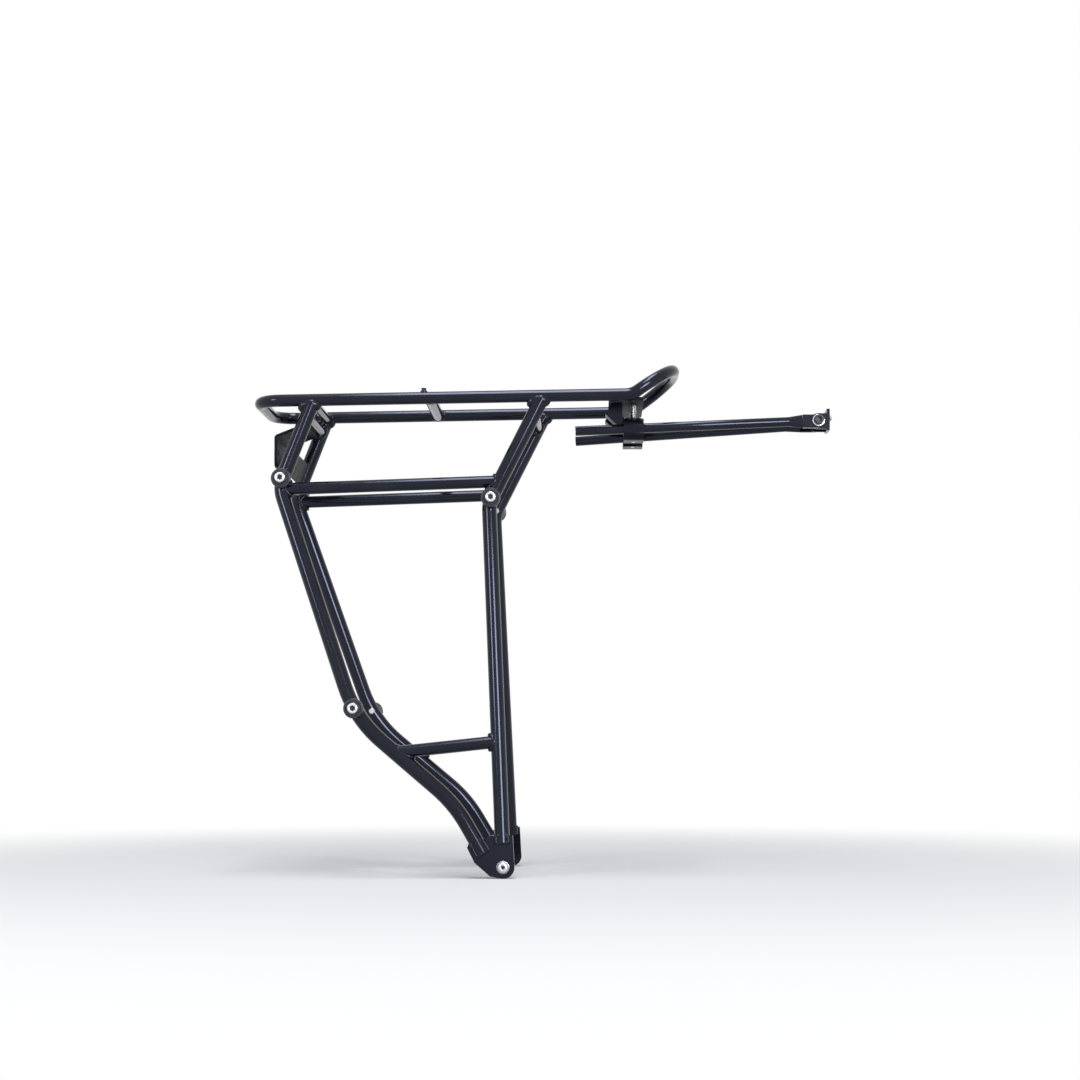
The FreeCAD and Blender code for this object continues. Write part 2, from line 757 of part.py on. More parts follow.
def stay_clamp():
    """The right clamp: a block around the rod and a heel that bears on the bridge."""
    half = size("block_length") / 2
    x = size("clamp_centre")
    block = box(
        "clamp_block", right(x - half, size("block_outer"), below_deck("block_bottom_drop")),
        "sizes.block_length", "sizes.block_outer - sizes.block_inner", "sizes.block_height")
    smooth = rounded(
        "clamp_block_round", block, size("block_round"),
        lambda edge: along(edge, FORWARD) and edge.Vertexes[0].Y < -size("clamp_bolt_offset"))
    heel_top = bridge_z - size("sliding_gap")
    outer = size("heel_outer")
    heel = extruded("clamp_heel", [
        right(size("heel_crest"), outer, heel_top),
        right(size("heel_nose"), outer, below_deck("heel_nose_drop")),
        right(size("heel_toe"), outer, below_deck("heel_toe_drop")),
        right(x - half + 1, outer, below_deck("heel_toe_drop")),
        right(x - half + 1, outer, below_deck("block_bottom_drop") + size("block_height")),
        right(size("heel_front"), outer, below_deck("block_bottom_drop") + size("block_height")),
        right(size("heel_front"), outer, heel_top),
    ], Vector(0, 1, 0), "sizes.heel_outer - sizes.heel_inner")
    solid = fuse("clamp_solid", smooth, heel)
    bore = cylinder(
        "clamp_rod_bore", on_rod(rod_reach + 2 * size("block_length")), ROD_FORWARD,
        "sizes.rod_diameter + 2 * sizes.running_clearance", "4 * sizes.block_length")
    bolt_hole = cylinder(
        "clamp_bolt_hole", CLAMP, UP,
        "sizes.screw_diameter + 2 * sizes.thread_clearance", "2 * sizes.block_height")
    # A pinch slit runs from the rod's bore past the bolt to the inner face.
    slit_start = on_rod(rod_reach) - FORWARD * size("block_length")
    slit = box(
        "clamp_slit", slit_start - UP * (size("block_slit") / 2),
        "2 * sizes.block_length", "sizes.block_outer - sizes.block_inner", "sizes.block_slit")
    return cut("stay_clamp_right", solid, bore, bolt_hole, slit)


clamp_right = stay_clamp()
clamp_left = mirrored("stay_clamp_left", clamp_right)

block_top = CLAMP + UP * size("block_height")
flange_right = washer(
    "clamp_flange_right", block_top, UP, "sizes.flange_diameter", THREAD, "sizes.flange_thickness")
flange_left = mirrored("clamp_flange_left", flange_right)

head_washer_seat = Vector(
    CLAMP.x, CLAMP.y, bridge_z + size("bridge_thickness") + size("sliding_gap"))
head_washer_right = washer(
    "clamp_washer_right", head_washer_seat, UP, "sizes.washer_diameter", THREAD,
    "sizes.washer_thickness")
head_washer_left = mirrored("clamp_washer_left", head_washer_right)

head_seat = head_washer_seat + UP * size("washer_thickness")
clamp_screw_right = cap_screw("clamp_bolt_right", head_seat, UP, str(head_seat.z - CLAMP.z))
clamp_screw_left = mirrored("clamp_bolt_left", clamp_screw_right)


# ---------------------------------------------------------------- seat bracket and its cross bolt


def seat_bracket():
    """A U of bent sheet: a face for the seat tube and two cheeks on the cross bolt."""
    half = size("bracket_half_width")
    width = "2 * sizes.bracket_half_width"
    cheek_half = size("bracket_cheek") / 2
    hub = cylinder("bracket_hub", PIVOT - RIGHT * half, RIGHT, "sizes.bracket_cheek", width)
    web = box(
        "bracket_web", right(PIVOT.x, half, PIVOT.z - cheek_half),
        "sizes.bracket_face + sizes.bracket_thickness - sizes.pivot_front", width,
        "sizes.bracket_cheek")
    face = box(
        "bracket_plate", right(size("bracket_face"), half, below_deck("bracket_bottom_drop")),
        "sizes.bracket_thickness", width, "sizes.bracket_bottom_drop - sizes.bracket_top_drop")
    inner = half - size("bracket_thickness")
    inside = box(
        "bracket_inside",
        right(PIVOT.x - 2 * cheek_half, inner, below_deck("bracket_bottom_drop")),
        "sizes.bracket_face - sizes.pivot_front + sizes.bracket_cheek",
        "2 * (sizes.bracket_half_width - sizes.bracket_thickness)",
        "sizes.bracket_bottom_drop - sizes.bracket_top_drop")
    pivot_hole = cylinder(
        "bracket_pivot_hole", PIVOT - RIGHT * half, RIGHT,
        "sizes.screw_diameter + 2 * sizes.running_clearance", width)
    bolt_hole = cylinder(
        "bracket_bolt_hole",
        Vector(size("bracket_face") - 1, 0, below_deck("bracket_hole_drop")), FORWARD,
        "sizes.mount_hole", "2 * sizes.bracket_thickness")
    solid = fuse("bracket_solid", hub, web, face)
    return cut("seat_bracket", solid, inside, pivot_hole, bolt_hole)


bracket = seat_bracket()

cheek_inner = size("bracket_half_width") - size("bracket_thickness")
spacer_start = PIVOT - RIGHT * (cheek_inner - size("sliding_gap"))
spacer = washer(
    "cross_spacer", spacer_start, RIGHT, "sizes.spacer_diameter", THREAD,
    "2 * (sizes.bracket_half_width - sizes.bracket_thickness - sizes.sliding_gap)")

eye_face = size("eye_offset") + size("eye_thickness") / 2
cross_washers = both_sides("cross_washers", [washer(
    "cross_washer", PIVOT + RIGHT * eye_face, RIGHT, "sizes.washer_diameter", THREAD,
    "sizes.washer_thickness")])
cross_head_seat = PIVOT + RIGHT * (eye_face + size("washer_thickness"))
cross_bolt = cap_screw(
    "cross_bolt", cross_head_seat, RIGHT,
    "2 * (sizes.eye_offset + sizes.eye_thickness / 2 + sizes.washer_thickness)"
    " + sizes.nut_height + sizes.screw_tip / 2")


def cross_nut():
    """The hexagonal nut on the left end of the cross bolt."""
    seat = PIVOT - RIGHT * (eye_face + size("washer_thickness"))
    nut = doc.addObject("Part::Prism", "cross_nut_blank")
    nut.Polygon = 6
    nut.Placement = Placement(seat, Rotation(UP, RIGHT * -1))
    bound(nut, Circumradius="sizes.nut_width / sqrt(3)", Height="sizes.nut_height")
    hole = cylinder("cross_nut_hole", seat, RIGHT * -1, THREAD, "sizes.nut_height")
    return cut("cross_nut", nut, hole)


nut = cross_nut()

deck.Label = "deck_hoop"
PIECES = (
    deck, rear_leg, rear_leg_left, front_leg, front_leg_left, foot_plate, foot_left,
    side_rail, side_rail_left, lower_strut, lower_strut_left, rear_tie, front_tie,
    rear_crossbar, middle_crossbar, strap_nubs, front_bridge, bracket_for_light,
    strip, pannier_bosses, pannier_discs, pannier_screws,
    rod_right, rod_left, clamp_right, clamp_left, flange_right, flange_left,
    head_washer_right, head_washer_left, clamp_screw_right, clamp_screw_left,
    bracket, spacer, cross_washers, cross_bolt, nut,
)


# ---------------------------------------------------------------- checks and export

doc.recompute()
failed = [obj.Name for obj in doc.Objects if {"Invalid", "Error"} & set(obj.State)]
if failed:
    raise RuntimeError(f"these objects failed: {failed}")
for piece in PIECES:
    shape = piece.Shape
    if shape.isNull() or not shape.isValid() or not shape.Solids:
        raise RuntimeError(f"{piece.Label} has no sound shape")

for bar, path, diameter in (
    (rear_blank, REAR_PATH, "leg_diameter"), (front_blank, FRONT_PATH, "leg_diameter"),
    (doc.getObject("deck_right_half"), doc.getObject("deck_right_half_path"), "deck_diameter"),
):
    expected = math.pi * size(diameter) ** 2 / 4 * path.Shape.Length
    if abs(bar.Shape.Volume / expected - 1) > 0.001:
        raise RuntimeError(f"{bar.Label} holds {bar.Shape.Volume}, not {expected}")

os.makedirs("parts", exist_ok=True)
for piece in PIECES:
    piece.Shape.exportStep(f"parts/{piece.Label}.step")
    print(f"{piece.Label:22s} {len(piece.Shape.Solids)} solids {piece.Shape.Volume / 1000:8.2f} cm3")
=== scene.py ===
import json
import math

import bmesh
import bpy
import numpy as np
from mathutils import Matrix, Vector
from mathutils.bvhtree import BVHTree


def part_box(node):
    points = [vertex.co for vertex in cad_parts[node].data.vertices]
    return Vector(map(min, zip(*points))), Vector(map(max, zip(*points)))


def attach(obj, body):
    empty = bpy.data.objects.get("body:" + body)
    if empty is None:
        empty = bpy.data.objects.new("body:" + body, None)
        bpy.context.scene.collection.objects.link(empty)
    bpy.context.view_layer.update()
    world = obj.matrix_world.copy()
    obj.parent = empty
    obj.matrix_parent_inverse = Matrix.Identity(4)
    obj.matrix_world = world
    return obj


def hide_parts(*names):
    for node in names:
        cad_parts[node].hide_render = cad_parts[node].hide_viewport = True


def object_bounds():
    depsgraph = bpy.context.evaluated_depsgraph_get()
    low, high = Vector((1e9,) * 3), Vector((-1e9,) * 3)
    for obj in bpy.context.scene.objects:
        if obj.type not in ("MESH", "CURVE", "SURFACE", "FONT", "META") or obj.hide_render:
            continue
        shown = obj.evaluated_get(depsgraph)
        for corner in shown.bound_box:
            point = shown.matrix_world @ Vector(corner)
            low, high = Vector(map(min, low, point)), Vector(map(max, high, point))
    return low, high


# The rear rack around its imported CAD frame. Metres; +X forward, +Y left, +Z up.
# Bars and plates keep their CAD shapes. Welds, screws, washers and discs are added here.

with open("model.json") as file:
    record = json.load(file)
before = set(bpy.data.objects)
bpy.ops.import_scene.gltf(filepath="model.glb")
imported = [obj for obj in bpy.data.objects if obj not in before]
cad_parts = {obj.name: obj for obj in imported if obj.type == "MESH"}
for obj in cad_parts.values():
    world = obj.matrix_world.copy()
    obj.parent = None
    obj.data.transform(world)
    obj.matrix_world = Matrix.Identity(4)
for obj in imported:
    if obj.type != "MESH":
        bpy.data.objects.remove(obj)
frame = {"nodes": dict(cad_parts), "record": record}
CAD_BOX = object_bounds()
NODES = frame["nodes"]

MM = 0.001
RIGHT, LEFT = Vector((0, -1, 0)), Vector((0, 1, 0))
UP, FORWARD = Vector((0, 0, 1)), Vector((1, 0, 0))
SIDES = {"right": RIGHT, "left": LEFT}


# ---------------------------------------------------------------- materials

# Blue tint on the coats' specular reflections: painted sky colour in the highlights, which the
# white lamps don't give.
PAINTED_SKY_TINT = (0.66, 0.73, 1.0, 1)
INK, CHARCOAL = (0.0032, 0.0032, 0.005), (0.006, 0.006, 0.0088)
ZINC_DARK, ZINC_LIGHT = (0.52, 0.53, 0.57), (0.72, 0.72, 0.75)
DISC_DARK, DISC_LIGHT = (0.009, 0.01, 0.014), (0.02, 0.021, 0.028)


class Paint:
    """A Principled material and short ways to wire its texture nodes."""

    def __init__(self, name, **sockets):
        self.material = bpy.data.materials.new(name)
        self.material.use_nodes = True
        self.nodes = self.material.node_tree.nodes
        self.links = self.material.node_tree.links
        self.shader = self.nodes["Principled BSDF"]
        for socket, value in sockets.items():
            self.shader.inputs[socket.replace("_", " ")].default_value = value
        self.place = self.nodes.new("ShaderNodeTexCoord").outputs["Object"]

    def noise(self, scale, detail=2.0, roughness=0.5, stretch=(1, 1, 1)):
        mapping = self.nodes.new("ShaderNodeMapping")
        mapping.inputs["Scale"].default_value = stretch
        self.links.new(self.place, mapping.inputs["Vector"])
        texture = self.nodes.new("ShaderNodeTexNoise")
        texture.inputs["Scale"].default_value = scale
        texture.inputs["Detail"].default_value = detail
        texture.inputs["Roughness"].default_value = roughness
        self.links.new(mapping.outputs["Vector"], texture.inputs["Vector"])
        return texture.outputs["Fac"]

    def spread(self, value, low, high, between=(0.3, 0.7)):
        """Maps a texture's middle band to low..high."""
        node = self.nodes.new("ShaderNodeMapRange")
        node.inputs["From Min"].default_value = between[0]
        node.inputs["From Max"].default_value = between[1]
        node.inputs["To Min"].default_value = low
        node.inputs["To Max"].default_value = high
        self.links.new(value, node.inputs["Value"])
        return node.outputs["Result"]

    def ramp(self, value, *stops):
        node = self.nodes.new("ShaderNodeValToRGB")
        elements = node.color_ramp.elements
        for place, colour in stops[2:]:
            elements.new(place)
        for element, (place, colour) in zip(elements, sorted(stops)):
            element.position = place
            element.color = (*colour, 1)
        self.links.new(value, node.inputs["Fac"])
        return node.outputs["Color"]

    def to(self, socket, output):
        self.links.new(output, self.shader.inputs[socket])

    def bump(self, height, strength, distance):
        """Adds a bump; later calls stack on earlier ones."""
        node = self.nodes.new("ShaderNodeBump")
        node.inputs["Strength"].default_value = strength
        node.inputs["Distance"].default_value = distance
        self.links.new(height, node.inputs["Height"])
        below = self.shader.inputs["Normal"].links
        if below:
            self.links.new(below[0].from_socket, node.inputs["Normal"])
        self.links.new(node.outputs["Normal"], self.shader.inputs["Normal"])


def powder_coat(name, roughness, peel, gloss=0.36):
    """Near-black powder coat, with orange peel, faint clouds of gloss and colour, and a blue tint
    on its reflections that is painted-in sky colour.
    """
    paint = Paint(name, Specular_IOR_Level=gloss, Specular_Tint=PAINTED_SKY_TINT)
    clouds = paint.noise(38, 4)
    paint.to("Base Color", paint.ramp(clouds, (0.35, INK), (0.7, CHARCOAL)))
    paint.to("Roughness", paint.spread(paint.noise(120, 5, 0.6), *roughness))
    paint.bump(paint.noise(420, 1), peel, 0.0003)
    return paint.material


def bright_steel(name):
    """Zinc-plated steel with fine tool marks and a slight haze."""
    paint = Paint(name, Metallic=1.0)
    haze = paint.noise(300, 4)
    paint.to("Base Color", paint.ramp(haze, (0.3, ZINC_DARK), (0.7, ZINC_LIGHT)))
    paint.to("Roughness", paint.spread(paint.noise(900, 3), 0.2, 0.36))
    paint.bump(paint.noise(1800, 2, stretch=(1, 1, 6)), 0.08, 0.00005)
    return paint.material


def disc_finish(name):
    """Dark anodised finish: satin, faintly speckled."""
    paint = Paint(name, Specular_IOR_Level=0.4)
    speckle = paint.noise(1500, 3)
    paint.to("Base Color", paint.ramp(speckle, (0.3, DISC_DARK), (0.75, DISC_LIGHT)))
    paint.to("Roughness", paint.spread(paint.noise(400, 3), 0.3, 0.44))
    paint.bump(paint.noise(2400, 2), 0.1, 0.00005)
    return paint.material


COAT = powder_coat("powder_coat", (0.1, 0.16), 0.008)
SHEET_COAT = powder_coat("sheet_coat", (0.42, 0.52), 0.06, gloss=0.1)
WELD_COAT = powder_coat("weld_coat", (0.16, 0.26), 0.06)
ROD_GLOSS = powder_coat("rod_gloss", (0.09, 0.15), 0.012)
CLAMP_COAT = powder_coat("clamp_coat", (0.28, 0.38), 0.09, gloss=0.14)
STEEL = bright_steel("bolt_steel")
DISC = disc_finish("dark_disc")
# The dark disc finish again, put inside screw sockets as painted shade in the recesses.
SOCKET_PAINTED_SHADE = disc_finish("socket_painted_shade")
FINISH = {
    "frame_coat": COAT, "rod_coat": ROD_GLOSS, "clamp_coat": CLAMP_COAT,
    "bolt_steel": STEEL, "dark_disc": DISC,
}
for entry in frame["record"]["subparts"]:
    mesh = NODES[entry["node"]].data
    mesh.materials.clear()
    mesh.materials.append(FINISH[entry["material_slot"]])
# The sheet pieces have a duller coat than the bars.
for node in ("light_bracket", "tail_strip", "front_bridge"):
    NODES[node].data.materials[0] = SHEET_COAT


# ---------------------------------------------------------------- mesh helpers


def piece(name, vertices, faces, body, material, sharp=math.radians(35)):
    """A mesh object that rides on a body, with the given material."""
    mesh = bpy.data.meshes.new(name)
    mesh.from_pydata([tuple(v) for v in vertices], [], faces)
    work = bmesh.new()
    work.from_mesh(mesh)
    bmesh.ops.remove_doubles(work, verts=work.verts, dist=1e-7)
    bmesh.ops.recalc_face_normals(work, faces=work.faces)
    for face in work.faces:
        face.smooth = True
    for edge in work.edges:
        edge.smooth = len(edge.link_faces) == 2 and edge.calc_face_angle(0) < sharp
    work.to_mesh(mesh)
    work.free()
    mesh.materials.append(material)
    obj = bpy.data.objects.new(name, mesh)
    bpy.context.scene.collection.objects.link(obj)
    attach(obj, body)
    return obj


def tube_faces(rows, around, closed):
    """Quads between rings of vertices, row by row."""
    faces = []
    for row in range(rows if closed else rows - 1):
        following = (row + 1) % rows
        for k in range(around):
            beside = (k + 1) % around
            faces.append((row * around + k, row * around + beside,
                          following * around + beside, following * around + k))
    return faces


def basis(direction):
    """Two unit vectors square to direction."""
    across = direction.cross(UP if abs(direction.z) < 0.9 else FORWARD).normalized()
    return across, direction.cross(across).normalized()


SEGMENTS = 72


def lathe(name, start, direction, profile, body, material, closed=False, hollow=0):
    """A turned piece from a profile of (height, radius, shape) in millimetres.

    The optional shape maps an angle to a factor on the radius. A closed profile makes a ring;
    the ends of an open one are closed by a fan. hollow counts the first rows, a screw's socket,
    which, with the fan at the socket's floor, take a dark material as painted shade in the recess."""
    across, beside = basis(direction)
    vertices = []
    for height, radius, *shape in profile:
        for k in range(SEGMENTS):
            theta = 2 * math.pi * k / SEGMENTS
            reach = radius * MM * (shape[0](theta) if shape else 1)
            vertices.append(start + direction * (height * MM)
                            + (across * math.cos(theta) + beside * math.sin(theta)) * reach)
    faces = tube_faces(len(profile), SEGMENTS, closed)
    if not closed:
        for row in (0, len(profile) - 1):
            hub = len(vertices)
            vertices.append(start + direction * (profile[row][0] * MM))
            faces += [(row * SEGMENTS + k, row * SEGMENTS + (k + 1) % SEGMENTS, hub)
                      for k in range(SEGMENTS)]
    made = piece(name, vertices, faces, body, material)
    if hollow:
        # Painted shade: the socket's rows and its floor take the dark material.
        made.data.materials.append(SOCKET_PAINTED_SHADE)
        floor = (len(profile) - 1) * SEGMENTS
        for k in [*range(hollow * SEGMENTS), *range(floor, floor + SEGMENTS)]:
            made.data.polygons[k].material_index = 1
    return made


# ---------------------------------------------------------------- reading the CAD nodes


def box_of(node):
    """A node's lowest and highest corners."""
    return tuple(Vector(corner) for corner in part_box(node))


def millimetres(low, high, axis):
    return (high[axis] - low[axis]) / MM


def corners(node):
    return np.array([v.co[:] for v in NODES[node].data.vertices])


def surface(node):
    mesh = NODES[node].data
    return BVHTree.FromPolygons([v.co[:] for v in mesh.vertices],
                                [p.vertices[:] for p in mesh.polygons])


def section(node, axis, value):
    """Where a node's edges cross the plane in which a coordinate equals value."""
    points = corners(node)
    edges = np.array([e.vertices[:] for e in NODES[node].data.edges])
    a, b = points[edges[:, 0]], points[edges[:, 1]]
    crosses = (a[:, axis] - value) * (b[:, axis] - value) < 0
    a, b = a[crosses], b[crosses]
    share = (value - a[:, axis]) / (b[:, axis] - a[:, axis])
    return a + (b - a) * share[:, None]


def slice_box(node, axis, value):
    """The corners of the box around a section."""
    cut = section(node, axis, value)
    return Vector(cut.min(0)), Vector(cut.max(0))


def slice_centre(node, axis, value):
    low, high = slice_box(node, axis, value)
    return (low + high) / 2


def joined(count, links):
    """Groups of numbers below count that the links connect."""
    root = list(range(count))

    def find(k):
        while root[k] != k:
            root[k] = root[root[k]]
            k = root[k]
        return k

    for first, *others in links:
        for other in others:
            root[find(other)] = find(first)
    groups = {}
    for k in range(count):
        groups.setdefault(find(k), []).append(k)
    return list(groups.values())


def solids(node):
    """The boxes of a node's separate solids, as (lowest corner, highest corner)."""
    points = corners(node)
    keys = {}
    merged = [keys.setdefault(tuple(np.round(p, 6)), len(keys)) for p in points]
    places = np.array(list(keys))
    links = [[merged[v] for v in polygon.vertices] for polygon in NODES[node].data.polygons]
    boxes = [(Vector(places[g].min(0)), Vector(places[g].max(0)))
             for g in joined(len(keys), links)]
    return sorted(boxes, key=lambda box: tuple(round(v, 3) for v in (box[0] + box[1]) / 2))


# ---------------------------------------------------------------- weld beads

RIPPLE = 1.3 * MM
BEAD_STEP = 0.33 * MM
BEAD_ARC = 6
SINK = 0.08 * MM


def rippled(run):
    """Height of a weld's ripples at a distance along it, from 0 to 1."""
    return abs(math.sin(math.pi * run / RIPPLE)) ** 0.6


def smoothed(points, rounds):
    """A closed line of points, each drawn towards its neighbours."""
    for _ in range(rounds):
        points = [(points[k - 1] + point * 2 + points[(k + 1) % len(points)]) / 4
                  for k, point in enumerate(points)]
    return points


def meeting(tree, origin, direction):
    """Where a ray meets a surface, or where it passes closest."""
    hit = tree.ray_cast(origin, direction)[0]
    if hit:
        return hit
    passed = [origin + direction * (step * 0.25 * MM) for step in range(2000)]
    return min(passed, key=lambda point: tree.find_nearest(point)[3])


def weld(name, host, start, direction, outline, leg=2.6, crown=0.9, inset=0.0, body="frame"):
    """A fillet bead around the seam where a bar or strip meets host.

    The bar runs from start along direction; outline lists (offset, outward normal) around its
    section. leg is how far the bead reaches on each part and crown how far it stands out as a
    share of that; both shrink where bar and host run flush. inset moves the seam in from the
    bar's side where the bar is the thicker."""
    tree = surface(host)
    seam = smoothed([meeting(tree, start + offset - outward * (inset * MM), direction)
                     for offset, outward in outline], 2)
    feet, toes, bulges, cores = [], [], [], []
    for k, (point, (offset, outward)) in enumerate(zip(seam, outline)):
        tangent = (seam[(k + 1) % len(seam)] - seam[k - 1]).normalized()
        normal = tree.find_nearest(point)[1]
        size = leg * MM * (1 - 0.7 * max(0.0, normal.dot(outward)))
        on_host = tangent.cross(normal).normalized()
        if on_host.dot(outward + direction / 2) < 0:
            on_host.negate()
        foot = tree.find_nearest(point + on_host * size)[0]
        side = start + offset
        toe = side + direction * ((point - side).dot(direction) - size)
        bisector = (normal + outward).normalized()
        feet.append(foot - normal * SINK)
        toes.append(toe - outward * SINK)
        bulges.append((foot + toe) / 2 + bisector * (size * crown))
        cores.append(point - bisector * (size * 0.35))
    feet, bulges = smoothed(feet, 4), smoothed(bulges, 8)
    vertices = []
    run = 0.0
    before = feet[0]
    for foot, toe, bulge, core in zip(feet, toes, bulges, cores):
        run += (foot - before).length
        before = foot
        middle = (foot + toe) / 2
        top = middle + (bulge - middle) * (0.94 + 0.12 * rippled(run))
        for step in range(BEAD_ARC + 1):
            t = step / BEAD_ARC
            vertices.append(foot * (1 - t) ** 2 + top * 2 * t * (1 - t) + toe * t ** 2)
        vertices.append(core)
    return piece(name, vertices, tube_faces(len(feet), BEAD_ARC + 2, True),
                 body, WELD_COAT, sharp=math.radians(70))


def round_outline(direction, radius):
    """The outline of a round bar of radius in metres."""
    across, beside = basis(direction)
    count = int(2 * math.pi * radius / BEAD_STEP)
    turns = (2 * math.pi * k / count for k in range(count))
    normals = [across * math.cos(theta) + beside * math.sin(theta) for theta in turns]
    return [(normal * radius, normal) for normal in normals]


def flat_outline(wide, thick):
    """The outline of a strip, from the vectors of half its width and half its thickness."""
    rays = []
    for face, along in ((thick, wide), (wide, -thick), (-thick, -wide), (-wide, thick)):
        outward, following = face.normalized(), along.normalized()
        count = max(4, int(2 * along.length / BEAD_STEP))
        rays += [(face + along * (2 * k / count - 1), outward) for k in range(count)]
        rays += [(face + along, outward.slerp(following, k / 5)) for k in range(1, 5)]
    return rays


def run_bead(name, points, radius, body="frame"):
    """An open bead along a line of points, tapered at both ends; radius in millimetres."""
    lengths = np.cumsum([0.0] + [(b - a).length for a, b in zip(points, points[1:])])
    line = np.array([p[:] for p in points])
    count = max(8, int(lengths[-1] / BEAD_STEP))
    runs = np.linspace(0, lengths[-1], count + 1)
    centres = [Vector(c) for c in
               np.stack([np.interp(runs, lengths, line[:, axis]) for axis in range(3)], 1)]
    around = 14
    vertices = []
    for k, (run, centre) in enumerate(zip(runs, centres)):
        tangent = (centres[min(k + 1, count)] - centres[max(k - 1, 0)]).normalized()
        across, beside = basis(tangent)
        nearest_end = min(run, lengths[-1] - run) / (radius * MM)
        taper = math.sqrt(max(0.02, 1 - max(0.0, 1 - nearest_end) ** 2))
        size = radius * MM * taper * (0.94 + 0.12 * rippled(run))
        for step in range(around):
            theta = 2 * math.pi * step / around
            vertices.append(centre + (across * math.cos(theta) + beside * math.sin(theta)) * size)
    faces = tube_faces(count + 1, around, False)
    for row in (0, count):
        faces.append(tuple(row * around + k for k in range(around)))
    return piece(name, vertices, faces, body, WELD_COAT, sharp=math.radians(70))


# ---------------------------------------------------------------- the frame's welds


def bar_line(node):
    """The middle, direction and radius of a straight bar, read from two sections."""
    low, high = box_of(node)
    size = high - low
    axis = max(range(3), key=lambda k: size[k])
    stations = [low[axis] + size[axis] * share for share in (0.4, 0.6)]
    first, second = (slice_centre(node, axis, station) for station in stations)
    section_low, section_high = slice_box(node, axis, stations[0])
    radius = min((section_high - section_low)[k] for k in range(3) if k != axis) / 2
    return (first + second) / 2, (second - first).normalized(), radius


def weld_bar(node, hosts, **sizes):
    """Beads at both ends of a straight bar; hosts are its backward and forward neighbours."""
    middle, direction, radius = bar_line(node)
    for label, host, way in (("start", hosts[0], -1), ("end", hosts[1], 1)):
        towards = direction * way
        weld(f"weld_{node}_{label}", host, middle, towards,
             round_outline(towards, radius), **sizes)


for side in SIDES:
    legs = (f"rear_leg_{side}", f"front_leg_{side}")
    weld_bar(f"side_rail_{side}", legs)
    weld_bar(f"lower_strut_{side}", legs)
for place in ("rear", "front"):
    weld_bar(f"{place}_tie", (f"{place}_leg_right", f"{place}_leg_left"), leg=3.2)
for place in ("rear", "middle"):
    weld_bar(f"{place}_crossbar", ("deck_hoop", "deck_hoop"), leg=2.4)


def width(node, axis, value, across):
    """How wide a node's section is along one axis, where another axis has a value."""
    low, high = slice_box(node, axis, value)
    return (high - low)[across]


LEG_RADIUS = width("front_leg_right", 2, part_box("lower_strut_right")[1][2] + 0.05, 0) / 2


def weld_leg_top(side, place):
    """The heavy bead between a leg's top end and the deck rail above it."""
    leg = f"{place}_leg_{side}"
    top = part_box(leg)[1][2]
    lower, upper = (slice_centre(leg, 2, top - drop * MM) for drop in (32, 22))
    towards = (upper - lower).normalized()
    weld(f"weld_{leg}_top", "deck_hoop", upper, towards, round_outline(towards, LEG_RADIUS),
         leg=5.6, crown=0.4, inset=1.6)


for side in SIDES:
    for place in ("rear", "front"):
        weld_leg_top(side, place)


def flat_bar(node):
    """The middle of a flat strip across the frame, and half its width and half its thickness
    as vectors."""
    cut = section(node, 1, 0.0)
    middle = cut.mean(0)
    _, _, axes = np.linalg.svd(cut - middle)
    across = [Vector(axis) * float(np.abs((cut - middle) @ axis).max()) for axis in axes[:2]]
    return Vector((cut.min(0) + cut.max(0)) / 2), *across


middle, wide, thick = flat_bar("tail_strip")
for side, towards in SIDES.items():
    weld(f"weld_tail_strip_{side}", f"rear_leg_{side}", middle, towards,
         flat_outline(wide, thick), leg=1.8)

# The light bracket's flange against the rear tie.
low, high = box_of("light_bracket")
lower, upper = (slice_centre("light_bracket", 0, low.x + reach * MM) for reach in (9, 16))
towards = (upper - lower).normalized()
thick = width("light_bracket", 0, upper.x, 2) / 2 * towards.x
weld("weld_light_bracket", "rear_tie", upper, towards,
     flat_outline(LEFT * high.y, towards.cross(LEFT) * thick), leg=1.8)


def seam_line(host, first, last, direction, count=24):
    """Where rays from the points between first and last meet host."""
    tree = surface(host)
    hits = (tree.ray_cast(first.lerp(last, k / count), direction)[0] for k in range(count + 1))
    return [hit for hit in hits if hit]


# The bridge's upper and lower faces against the deck's rails.
low, high = box_of("front_bridge")
for side, out in SIDES.items():
    for label, z in (("upper", high.z), ("lower", low.z)):
        rear, fore = (Vector((x, out.y * 30 * MM, z))
                      for x in (low.x + 1 * MM, high.x - 8 * MM))
        run_bead(f"weld_bridge_{side}_{label}", seam_line("deck_hoop", rear, fore, out), 1.6)


def flat_faces(node, axis, value):
    """Outlines of a node's faces in the plane where a coordinate equals value."""
    mesh = NODES[node].data
    keys = [tuple(round(c, 6) for c in v.co) for v in mesh.vertices]
    sides = {}
    for polygon in mesh.polygons:
        loop = [keys[v] for v in polygon.vertices]
        if all(abs(corner[axis] - value) < 0.01 * MM for corner in loop):
            for a, b in zip(loop, loop[1:] + loop[:1]):
                sides[a, b] = sides.get((a, b), 0) + 1
    following = {a: b for a, b in sides if (b, a) not in sides}
    outlines = []
    while following:
        line = [next(iter(following))]
        while line[-1] in following:
            line.append(following.pop(line[-1]))
        outlines.append([Vector(p) for p in line])
    return outlines


# Where the legs' lower ends straddle the foot plates.
for side, out in SIDES.items():
    low, high = box_of(f"foot_plate_{side}")
    for place in ("rear", "front"):
        for label, y in (("outer", low.y if out.y < 0 else high.y),
                         ("inner", high.y if out.y < 0 else low.y)):
            for line in flat_faces(f"{place}_leg_{side}", 1, y):
                top = max(range(len(line) - 1), key=lambda k: line[k].z)
                closed = line[top:-1] + line[:top + 1]
                run_bead(f"weld_foot_{side}_{place}_{label}", closed, 1.7)

